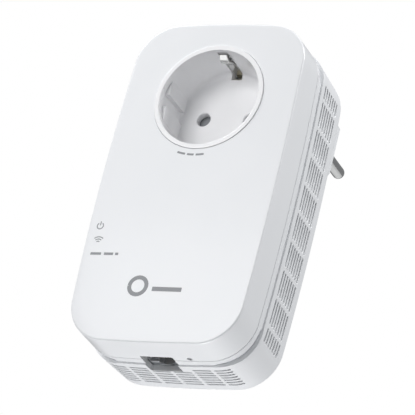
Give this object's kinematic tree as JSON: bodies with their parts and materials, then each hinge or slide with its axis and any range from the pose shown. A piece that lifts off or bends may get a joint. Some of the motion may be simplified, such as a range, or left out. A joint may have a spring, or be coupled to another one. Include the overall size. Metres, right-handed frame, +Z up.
{
  "type": "powerline adapter",
  "caption": "Upright plug-through powerline network adapter with an earthed round outlet in front, side and end vents, a network port below and an offset round plug behind.",
  "frame": {"origin": "middle of the plug's end face, between its two pins", "axes": "+Z up, -Y out of the front panel, +Y along the pins into the wall, +X to the right seen from the front"},
  "size_m": [0.0728, 0.078, 0.133],
  "materials": {
    "casing_white": "fine moulded texture",
    "outlet_white": "smooth moulded",
    "button_white": "smooth moulded",
    "plate_grey": "printed film",
    "shutter_grey": "smooth moulded",
    "carrier_ivory": "moulded",
    "pin_nickel": "nickel plated",
    "contact_brass": "stamped",
    "spring_steel": "drawn wire",
    "screw_steel": "zinc plated",
    "board_green": "solder mask",
    "sheet_film": "film",
    "part_black": "moulded",
    "fuse_body": "ceramic",
    "varistor_blue": "dipped lacquer",
    "choke_winding": "enamelled copper wire",
    "capacitor_yellow": "moulded box",
    "capacitor_sleeve": "shrink sleeve",
    "ferrite": "sintered",
    "winding_tape": "tape",
    "sink_aluminium": "extruded",
    "tin_lid": "tinned",
    "jack_black": "moulded",
    "contact_gold": "gold flashed",
    "led_lens": "clear resin",
    "guide_clear": "clear polycarbonate",
    "lead_grey": "extruded jacket"
  },
  "bodies": {
    "casing": {"front_cover": "casing_white", "rear_casing": "casing_white", "rating_plate": "plate_grey", "case_screws": "screw_steel", "outlet_insert": "outlet_white", "outlet_earth_strap": "pin_nickel", "shutter_spring": "spring_steel", "contact_carrier": "carrier_ivory", "outlet_screws": "screw_steel", "neutral_contact": "contact_brass", "line_contact": "contact_brass", "plug_insert": "casing_white", "neutral_pin": "pin_nickel", "line_pin": "pin_nickel", "neutral_bus_bar": "contact_brass", "line_bus_bar": "contact_brass", "plug_earth_clip": "pin_nickel", "earth_pin_sleeve": "contact_brass", "main_board": "board_green", "power_board": "board_green", "board_screws": "screw_steel", "insulating_sheet": "sheet_film", "board_header": "part_black", "fuse": "fuse_body", "varistor": "varistor_blue", "input_choke": "choke_winding", "x_capacitor": "capacitor_yellow", "bridge_rectifier": "part_black", "bulk_capacitors": "capacitor_sleeve", "transformer_core": "ferrite", "transformer_winding": "winding_tape", "output_capacitors": "capacitor_sleeve", "output_inductor": "ferrite", "power_chip": "part_black", "main_chip": "part_black", "heatsink": "sink_aluminium", "memory_chip": "part_black", "radio_shield": "tin_lid", "radio_chip": "part_black", "coupling_transformer": "ferrite", "network_transformer": "part_black", "ethernet_jack": "jack_black", "jack_shield": "tin_lid", "jack_contacts": "contact_gold", "status_leds": "led_lens", "light_guide": "guide_clear", "button_switches": "part_black", "plug_housing": "casing_white", "button_board": "board_green", "reset_switch": "part_black", "left_antenna": "contact_brass", "left_antenna_lead": "lead_grey", "right_antenna": "contact_brass", "right_antenna_lead": "lead_grey"},
    "pair_button": {"pair_button": "button_white", "pair_plunger": "part_black"},
    "radio_button": {"radio_button": "button_white", "radio_plunger": "part_black"},
    "reset_plunger": {"reset_plunger": "part_black"},
    "safety_shutter": {"safety_shutter": "shutter_grey"}
  },
  "joints": [
    {"name": "pair_press", "type": "slide", "parent": "casing", "child": "pair_button", "axis": [1, 0, 0], "range_m": [0, 0.0003], "stiffness_N_per_m": 3000, "springref_m": -0.0002},
    {"name": "radio_press", "type": "slide", "parent": "casing", "child": "radio_button", "axis": [1, 0, 0], "range_m": [0, 0.0003], "stiffness_N_per_m": 3000, "springref_m": -0.0002},
    {"name": "reset_press", "type": "slide", "parent": "casing", "child": "reset_plunger", "axis": [0, 0, 1], "range_m": [0, 0.0003], "stiffness_N_per_m": 3000, "springref_m": -0.0002},
    {"name": "shutter_slide", "type": "slide", "parent": "casing", "child": "safety_shutter", "axis": [0, 0, 1], "range_m": [0, 0.0062], "stiffness_N_per_m": 60, "springref_m": -0.003, "deforming": ["shutter_spring"]}
  ]
}
